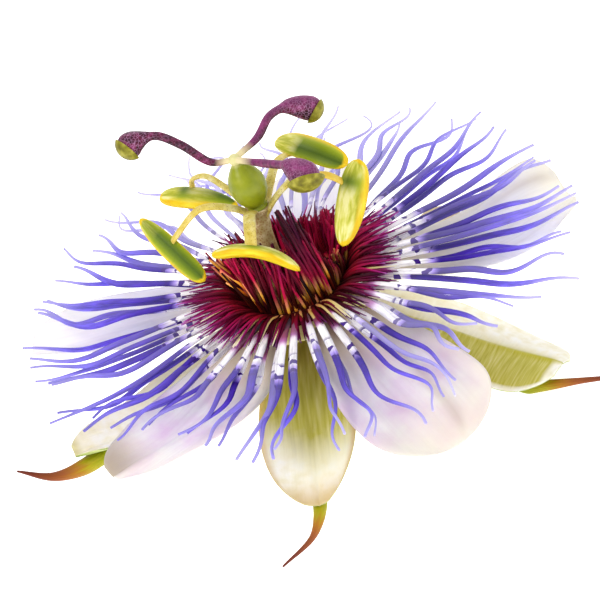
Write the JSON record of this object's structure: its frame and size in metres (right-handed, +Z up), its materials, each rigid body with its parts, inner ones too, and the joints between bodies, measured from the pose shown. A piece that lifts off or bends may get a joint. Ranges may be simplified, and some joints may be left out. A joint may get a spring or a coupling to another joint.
{
  "type": "passion flower",
  "caption": "Open passion flower lying face up: reflexed sepals with awns, white petals, a wide fringe of thin filaments, and a column with hanging anthers, ovary and spreading styles.",
  "frame": {"origin": "middle of the flower's footprint, on the surface that it lies on", "axes": "+Z up along the flower's axis, out of its face; -Y towards the front, where a sepal's awn meets the surface; +X to the flower's right seen from the front"},
  "size_m": [0.091, 0.0844, 0.0498],
  "materials": {
    "receptacle": "smooth pale green plant skin",
    "sepal": "cream to yellow-green, waxy, with a green and tan awn",
    "petal": "white tinged lilac, thin and soft",
    "corona_outer": "banded maroon, white and blue-violet, velvety",
    "corona_inner": "dark maroon with pale feet, velvety",
    "operculum": "thin pale membrane",
    "androgynophore": "cream-yellow with fine dark speckles",
    "anther": "green back with yellow pollen edges",
    "ovary": "smooth waxy yellow-green",
    "style": "purple with maroon speckles",
    "stigma": "olive, finely rough"
  },
  "bodies": {
    "root": {"receptacle": "receptacle", "sepal_1": "sepal", "sepal_2": "sepal", "sepal_3": "sepal", "sepal_4": "sepal", "sepal_5": "sepal", "petal_1": "petal", "petal_2": "petal", "petal_3": "petal", "petal_4": "petal", "petal_5": "petal", "corona_outer": "corona_outer", "corona_inner": "corona_inner", "operculum": "operculum", "androgynophore": "androgynophore", "anther_1": "anther", "anther_2": "anther", "anther_3": "anther", "anther_4": "anther", "anther_5": "anther", "ovary": "ovary", "style_1": "style", "style_2": "style", "style_3": "style", "stigma_1": "stigma", "stigma_2": "stigma", "stigma_3": "stigma"}
  },
  "joints": []
}
